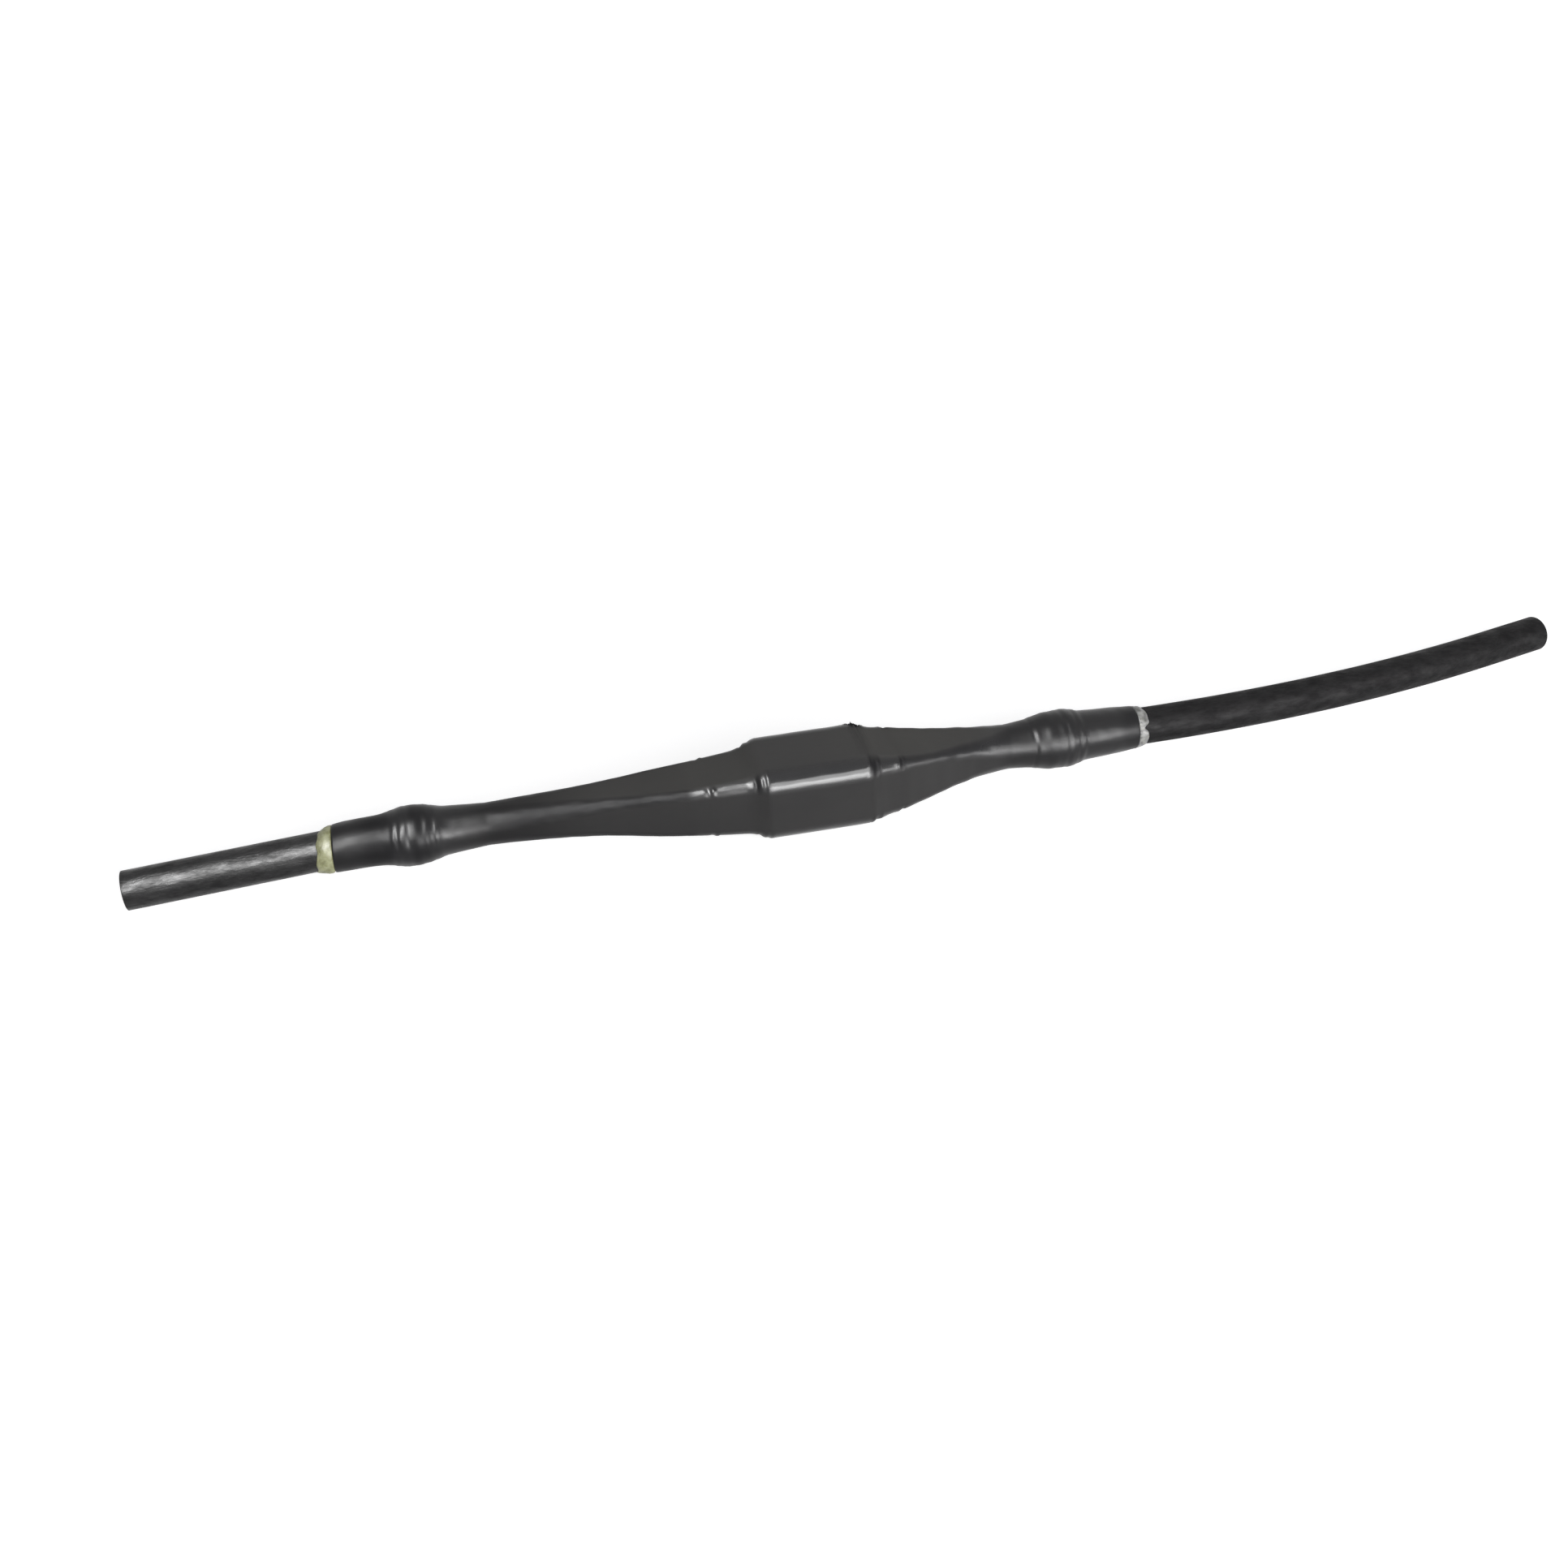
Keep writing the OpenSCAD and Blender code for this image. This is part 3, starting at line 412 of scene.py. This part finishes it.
def paint_sleeve(mesh, places):
    """Two values at each point for the material: how glossy the skin is, and how much of a flat it is. A flat is
    matt, and its colour is painted paler as a painted sheen, paler still where it faces up as painted light, and
    less pale in the bunched folds as painted shade. The bore's rings come last and aren't seen, so they take the
    last place's values."""
    mesh.attributes.new("shine", "FLOAT", "POINT")
    mesh.attributes.new("flat", "FLOAT", "POINT")
    shine, flat = (mesh.attributes[key].data for key in ("shine", "flat"))
    for i in range(len(shine)):
        t = places[min(i // RING_POINTS, len(places) - 1)]
        if not CRUTCH_X[0] < t < CRUTCH_X[1]:
            shine[i].value = SHINE(t)
            continue
        point = i % RING_POINTS
        a = math.radians((point + 0.5) * 90 / CORNER_POINTS)
        off_ridge = 1 - abs(math.sin(2 * a))
        # The bunched folds are matt, and dark as painted shade: they lose the flats' painted sheen.
        bunch = bump(t - SHIFT[0], 51, 7) * bump(a, 1.15, 0.35)
        shine[i].value = SHINE(own_x(point // CORNER_POINTS, t)) * (1 - SHARE(t) * off_ridge) - 0.9 * bunch
        # Painted sheen on the flats, painted light on the flats that face up, painted shade in the bunched folds
        flat[i].value = SHARE(t) * off_ridge ** 1.5 * (0.3 + UPWARD_PAINTED_LIGHT(t) * max(0, math.sin(a))) * (1 - bunch)


def make_sleeve():
    first, last = CRUTCH_X[0] - MOUTH[0], CRUTCH_X[1] + MOUTH[1]
    ts = []
    start = first
    for end, step in STATIONS:
        count = round((end - start) / step)
        ts += [start + (end - start) * k / count for k in range(count)]
        start = end
    ts.append(last)
    outer = [sleeve_ring(t, detail=sleeve_detail) for t in ts]
    # Both mouths are rounded over.
    outer[0] = sleeve_ring(first + 0.3, 0.1)
    outer[-1] = sleeve_ring(last - 0.3, 0.1)
    inner = [sleeve_ring(t, inside=True) for t in ts[::4] + [last]]
    rings = [sleeve_ring(first, 0.8)] + outer + [sleeve_ring(last, 0.8)] + list(reversed(inner))
    obj = loft("outer_tube", rings)
    paint_sleeve(obj.data, [first] + ts + [last])
    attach(obj, "root")
    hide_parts("outer_sleeve")
    return obj


sleeve = make_sleeve()


# A sealant bead's section: share of its length, share of its height. The last two points lie underneath.
BEAD_SECTION = ((0, 0.15), (0, 0.7), (0.04, 0.95), (0.15, 1.0), (0.35, 1.0), (0.55, 0.88), (0.72, 0.62),
                (0.86, 0.35), (0.95, 0.14), (1.0, 0.02), (0.9, -0.05), (0.1, -0.05))
BEAD_POINTS = 72
# Gaps between the mouth and the bead and between the sheath and the bead
BEAD_GAP = 0.2
BEAD_LIFT = 0.03
# Where the right bead is parted, and how wide that is, round the cable
PARTED, PARTED_WIDTH = 2.6, 0.17


def make_sealant(i, name, length, rise, seed, lump, gap):
    """A bead rise high and uneven by lump of that. gap is how much of it is missing where it is parted."""
    start = MOUTH[i] + BEAD_GAP
    rings = []
    for u, h in BEAD_SECTION:
        ring = []
        for j in range(BEAD_POINTS):
            a = 2 * math.pi * j / BEAD_POINTS
            c, w = math.cos(a), math.sin(a)
            wide = 1 + 0.22 * noise.noise(Vector((c * 1.7, w * 1.7, seed)))
            n1 = noise.noise(Vector((c * 2.6, w * 2.6, u * 2.0 + seed)))
            n2 = noise.noise(Vector((c * 8, w * 8, u * 5.0 + seed)))
            bare = 1 - bump(a, PARTED, PARTED_WIDTH, gap)
            r = SHEATH_R + BEAD_LIFT + rise * h * bare * (1 + lump * n1 + 0.5 * lump * n2 if h > 0 else 1)
            low = 1 + 0.14 * math.cos(a - NEAR_LOWER) if i == LEFT else 1
            s = start + slant(i, start, a) + length * u * wide * low * (0.5 + 0.5 * bare)
            ring.append(cable_point(i, s, r * c, r * w) * MM)
        rings.append(ring if DIR[i] > 0 else list(reversed(ring)))
    obj = loft(name, rings)
    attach(obj, "root")
    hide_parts(name.replace("_bead", "_sealant"))
    return obj


left_bead = make_sealant(LEFT, "left_bead", length=13.2, rise=3.0, seed=2.0, lump=0.34, gap=0)
right_bead = make_sealant(RIGHT_SIDE, "right_bead", length=10.5, rise=2.2, seed=11.0, lump=0.4, gap=0.98)


# Materials
class Shader:
    """A Principled material with a few short calls for its nodes."""

    def __init__(self, name, color, rough, metallic=0.0, spec=0.5):
        self.mat = bpy.data.materials.new(name)
        self.mat.use_nodes = True
        self.tree = self.mat.node_tree
        self.b = self.tree.nodes["Principled BSDF"]
        self.b.inputs["Base Color"].default_value = (*color, 1)
        self.b.inputs["Roughness"].default_value = rough
        self.b.inputs["Metallic"].default_value = metallic
        self.b.inputs["Specular IOR Level"].default_value = spec
        self.coord = self.add("ShaderNodeTexCoord")

    def add(self, kind, **values):
        node = self.tree.nodes.new(kind)
        for key, value in values.items():
            setattr(node, key, value)
        return node

    def put(self, value, socket):
        """A number or another node's output into a socket."""
        if isinstance(value, (int, float)):
            socket.default_value = value
        else:
            self.tree.links.new(value, socket)

    def noise(self, scale, detail, rough, stretch=(1, 1, 1)):
        """Noise in the object's own place. A stretch below 1 draws it out that way."""
        m = self.add("ShaderNodeMapping")
        m.inputs["Scale"].default_value = stretch
        self.put(self.coord.outputs["Object"], m.inputs["Vector"])
        n = self.add("ShaderNodeTexNoise")
        for key, value in (("Scale", scale), ("Detail", detail), ("Roughness", rough)):
            n.inputs[key].default_value = value
        self.put(m.outputs[0], n.inputs["Vector"])
        return n.outputs["Fac"]

    def ramp(self, value, stops):
        """Each stop is a position with a colour or a plain number."""
        r = self.add("ShaderNodeValToRGB")
        cr = r.color_ramp
        while len(cr.elements) < len(stops):
            cr.elements.new(0.5)
        for e, (pos, col) in zip(cr.elements, stops):
            e.position = pos
            e.color = (col, col, col, 1) if isinstance(col, float) else (*col, 1)
        self.put(value, r.inputs["Fac"])
        return r.outputs["Color"]

    def math(self, op, a, b):
        m = self.add("ShaderNodeMath", operation=op)
        self.put(a, m.inputs[0])
        self.put(b, m.inputs[1])
        return m.outputs[0]

    def bump(self, height, strength, distance):
        b = self.add("ShaderNodeBump")
        b.inputs["Distance"].default_value = distance
        self.put(strength, b.inputs["Strength"])
        self.put(height, b.inputs["Height"])
        self.put(b.outputs[0], self.b.inputs["Normal"])

    def color(self, out):
        self.put(out, self.b.inputs["Base Color"])

    def rough(self, out):
        self.put(out, self.b.inputs["Roughness"])

    def spec(self, out):
        self.put(out, self.b.inputs["Specular IOR Level"])

    def on(self, obj):
        obj.data.materials.clear()
        obj.data.materials.append(self.mat)


def srgb(r, g, b):
    """A colour given as 0 to 255 for the screen, as the linear values that the nodes work with."""
    parts = [c / 255 for c in (r, g, b)]
    return tuple(c / 12.92 if c <= 0.04045 else ((c + 0.055) / 1.055) ** 2.4 for c in parts)


# Outer sleeve: shrunk polyolefin with faint streaks along it. It is glossiest where it is stretched over the
# ridges of the block. The flats are matt, and painted paler as a sheen, and paler still where they face up, as
# painted light.
m = Shader("sleeve_polyolefin", srgb(24, 24, 26), 0.28)
big = m.noise(14, 3, 0.5, (0.6, 1, 1))
middling = m.noise(60, 3, 0.5, (0.4, 1, 1))
fine = m.noise(220, 4, 0.6, (0.25, 1, 1))
shine = m.add("ShaderNodeAttribute", attribute_name="shine").outputs["Fac"]
flat = m.add("ShaderNodeAttribute", attribute_name="flat").outputs["Fac"]
# The flats' colour is painted paler: a painted sheen, and painted light where they face up.
m.color(m.ramp(m.math("ADD", m.math("MULTIPLY", big, 0.3), m.math("MULTIPLY", flat, 0.6)),
               ((0.09, srgb(23, 23, 26)), (0.21, srgb(30, 29, 30)), (0.95, srgb(57, 56, 54)))))
grain = m.math("ADD", m.math("MULTIPLY", big, 0.12), m.math("MULTIPLY", fine, 0.1))
dull = m.math("SUBTRACT", m.math("MULTIPLY", flat, 0.42), m.math("MULTIPLY", shine, 0.13))
m.rough(m.math("ADD", grain, m.math("ADD", dull, 0.2)))
level = m.math("SUBTRACT", m.math("MULTIPLY", shine, 0.21), m.math("MULTIPLY", flat, 0.03))
m.spec(m.math("ADD", level, 0.27))
height = m.math("ADD", m.math("MULTIPLY", fine, 0.3), m.math("MULTIPLY", middling, 0.7))
uneven = m.math("SUBTRACT", 0.24, m.math("MULTIPLY", shine, 0.16))
m.bump(height, m.math("MINIMUM", uneven, 0.3), 0.0008)
m.on(sleeve)

# Cable sheaths: the left one is handled smooth along its top, with pale scuffs, the right one is matt
for obj, gloss, tone, spec, scuff in ((left_cable, 0.36, 12, 0.26, 40), (right_cable, 0.55, 22, 0.1, 8)):
    m = Shader(obj.name + "_pvc", srgb(tone, tone, tone + 1), gloss, spec=spec)
    fine = m.noise(420, 5, 0.65, (0.3, 1, 1))
    coarse = m.noise(110, 4, 0.6, (0.35, 1, 1))
    scuffs = m.noise(95, 5, 0.7, (0.22, 1, 1))
    patches = m.noise(130, 4, 0.7, (0.4, 1, 1))
    m.rough(m.ramp(patches, ((0.3, gloss + 0.12), (0.7, gloss - 0.05))))
    m.spec(m.ramp(patches, ((0.36, spec * 0.6), (0.66, spec * 1.4))))
    m.color(m.ramp(scuffs, ((0.3, srgb(tone - 4, tone - 4, tone - 3)), (0.6, srgb(tone + 5, tone + 4, tone + 5)),
                            (0.76, srgb(tone + scuff, tone + scuff, tone + scuff)))))
    m.bump(m.math("ADD", m.math("MULTIPLY", coarse, 0.7), m.math("MULTIPLY", fine, 0.3)), 0.8, 0.0012)
    m.on(obj)

# Sealant: waxy hot-melt, yellow-green on the left and whitish on the right
for obj, low, high in ((left_bead, srgb(142, 142, 100), srgb(186, 188, 146)),
                       (right_bead, srgb(104, 104, 102), srgb(170, 170, 167))):
    m = Shader(obj.name + "_wax", high, 0.4, spec=0.45)
    m.b.inputs["Subsurface Weight"].default_value = 0.25
    m.b.inputs["Subsurface Radius"].default_value = (0.004, 0.004, 0.002)
    m.color(m.ramp(m.noise(180, 4, 0.6), ((0.35, low), (0.62, high))))
    m.bump(m.noise(320, 3, 0.5), 0.5, 0.0008)
    m.on(obj)

# What lies inside, by a part of its node's name: material, colour, roughness, metallic
INSIDE = {
    "armour": ("galvanised", srgb(150, 152, 154), 0.42, 1.0),
    "support_ring": ("zinc", srgb(165, 167, 170), 0.3, 1.0),
    "roll_spring": ("spring", srgb(175, 176, 178), 0.22, 1.0),
    "conductor": ("copper", srgb(184, 115, 80), 0.3, 1.0),
    "connector": ("tinned", srgb(200, 201, 203), 0.32, 1.0),
    "bolts": ("bolt", srgb(190, 160, 96), 0.3, 1.0),
    "earth_braid": ("braid", srgb(186, 140, 108), 0.4, 1.0),
    "bedding": ("bedding", srgb(38, 38, 39), 0.6, 0.0),
    "inner_sleeve": ("inner", srgb(34, 34, 36), 0.4, 0.0),
    "core_brown": ("core_brown", srgb(110, 66, 42), 0.35, 0.0),
    "core_black": ("core_black", srgb(30, 30, 31), 0.35, 0.0),
    "core_grey": ("core_grey", srgb(128, 129, 130), 0.35, 0.0),
    "core_blue": ("core_blue", srgb(40, 84, 160), 0.35, 0.0),
}
for key, (name, color, rough, metallic) in INSIDE.items():
    m = Shader(name, color, rough, metallic)
    grain = m.noise(260, 3, 0.5, (0.15, 1, 1))
    dark = tuple(c * 0.78 for c in color)
    m.color(m.ramp(grain, ((0.3, dark), (0.65, color))))
    m.rough(m.ramp(grain, ((0.3, rough - 0.06), (0.7, rough + 0.1))))
    m.bump(grain, 0.25, 0.0002)
    for node, obj in NODES.items():
        if key in node:
            m.on(obj)

# Floor and light, in metres
FLOOR = 6.0
FLOOR_Z = -0.0002
WHITE = (1, 1, 1, 1)
# The world's own light on the object. The rays that show the background see it white.
AMBIENT = (0.25, 0.25, 0.26, 1)


def seen_rays(tree):
    """1 for the rays that show the background: to the camera, in reflections and through glass."""
    path = tree.nodes.new("ShaderNodeLightPath")
    out = path.outputs["Is Camera Ray"]
    for name in ("Is Glossy Ray", "Is Transmission Ray"):
        most = tree.nodes.new("ShaderNodeMath")
        most.operation = "MAXIMUM"
        tree.links.new(out, most.inputs[0])
        tree.links.new(path.outputs[name], most.inputs[1])
        out = most.outputs[0]
    return out


def make_floor():
    mesh = bpy.data.meshes.new("floor")
    corners = ((-FLOOR, -FLOOR), (FLOOR, -FLOOR), (FLOOR, FLOOR), (-FLOOR, FLOOR))
    mesh.from_pydata([(x, y, FLOOR_Z) for x, y in corners], [], [(0, 1, 2, 3)])
    obj = bpy.data.objects.new("floor", mesh)
    bpy.context.collection.objects.link(obj)
    mat = bpy.data.materials.new("floor")
    mat.use_nodes = True
    tree = mat.node_tree
    b = tree.nodes["Principled BSDF"]
    b.inputs["Base Color"].default_value = (0.5, 0.5, 0.5, 1)
    b.inputs["Roughness"].default_value = 0.9
    b.inputs["Specular IOR Level"].default_value = 0.0
    # The floor glows for the rays that show the background, a little less near the object than far off.
    glow = tree.nodes.new("ShaderNodeEmission")
    glow.inputs["Color"].default_value = WHITE
    amount = tree.nodes.new("ShaderNodeMath")
    amount.operation = "MULTIPLY"
    add = tree.nodes.new("ShaderNodeAddShader")
    tree.links.new(seen_rays(tree), amount.inputs[0])
    coord = tree.nodes.new("ShaderNodeTexCoord")
    far = tree.nodes.new("ShaderNodeVectorMath")
    far.operation = "LENGTH"
    tree.links.new(coord.outputs["Object"], far.inputs[0])
    level = tree.nodes.new("ShaderNodeMapRange")
    for key, value in (("From Min", 0.1), ("From Max", 1.8), ("To Min", 0.8), ("To Max", 0.98)):
        level.inputs[key].default_value = value
    tree.links.new(far.outputs["Value"], level.inputs["Value"])
    tree.links.new(level.outputs["Result"], amount.inputs[1])
    tree.links.new(amount.outputs[0], glow.inputs["Strength"])
    tree.links.new(b.outputs[0], add.inputs[0])
    tree.links.new(glow.outputs[0], add.inputs[1])
    tree.links.new(add.outputs[0], tree.nodes["Material Output"].inputs["Surface"])
    obj.data.materials.append(mat)


make_floor()


def area_light(name, place, size, power, target, diffuse=True):
    data = bpy.data.lights.new(name, "AREA")
    data.shape = "RECTANGLE"
    data.size, data.size_y = size
    data.energy = power
    obj = bpy.data.objects.new(name, data)
    bpy.context.collection.objects.link(obj)
    obj.location = place
    obj.rotation_euler = (Vector(place) - Vector(target)).to_track_quat("Z", "Y").to_euler()
    obj.visible_diffuse = diffuse


# The main light stands before the object. The panels show only as highlights: along the front ridge of
# the block, on the left cable, and on the thin ridges left and right of the block.
BLOCK, LEFT_END = (0.05, 0.02, 0.03), (-0.5, 0.02, 0.03)
area_light("key", (0.6, -2.1, 1.15), (1.9, 1.1), 50, BLOCK)
area_light("front_panel", (0.5, -2.1, 0.42), (1.4, 0.74), 52, BLOCK, diffuse=False)
area_light("left_panel", (-1.13, -1.5, 2.3), (0.55, 2.6), 250, LEFT_END, diffuse=False)
area_light("middle_panel", (-0.48, -1.55, 1.9), (0.36, 0.9), 15, BLOCK, diffuse=False)
area_light("right_panel", (1.73, -1.41, 0.36), (1.0, 0.55), 20, BLOCK, diffuse=False)

world = bpy.data.worlds.new("world")
bpy.context.scene.world = world
world.use_nodes = True
wt = world.node_tree
background = wt.nodes["Background"]
mix = wt.nodes.new("ShaderNodeMix")
mix.data_type = "RGBA"
# The sockets that a Mix node has for colours
SHARE_IN, COLOR_A, COLOR_B, COLOR_OUT = 0, 6, 7, 2
mix.inputs[COLOR_A].default_value = AMBIENT
mix.inputs[COLOR_B].default_value = WHITE
wt.links.new(seen_rays(wt), mix.inputs[SHARE_IN])
wt.links.new(mix.outputs[COLOR_OUT], background.inputs["Color"])
background.inputs["Strength"].default_value = 1.0
bpy.context.scene.view_settings.view_transform = "Standard"
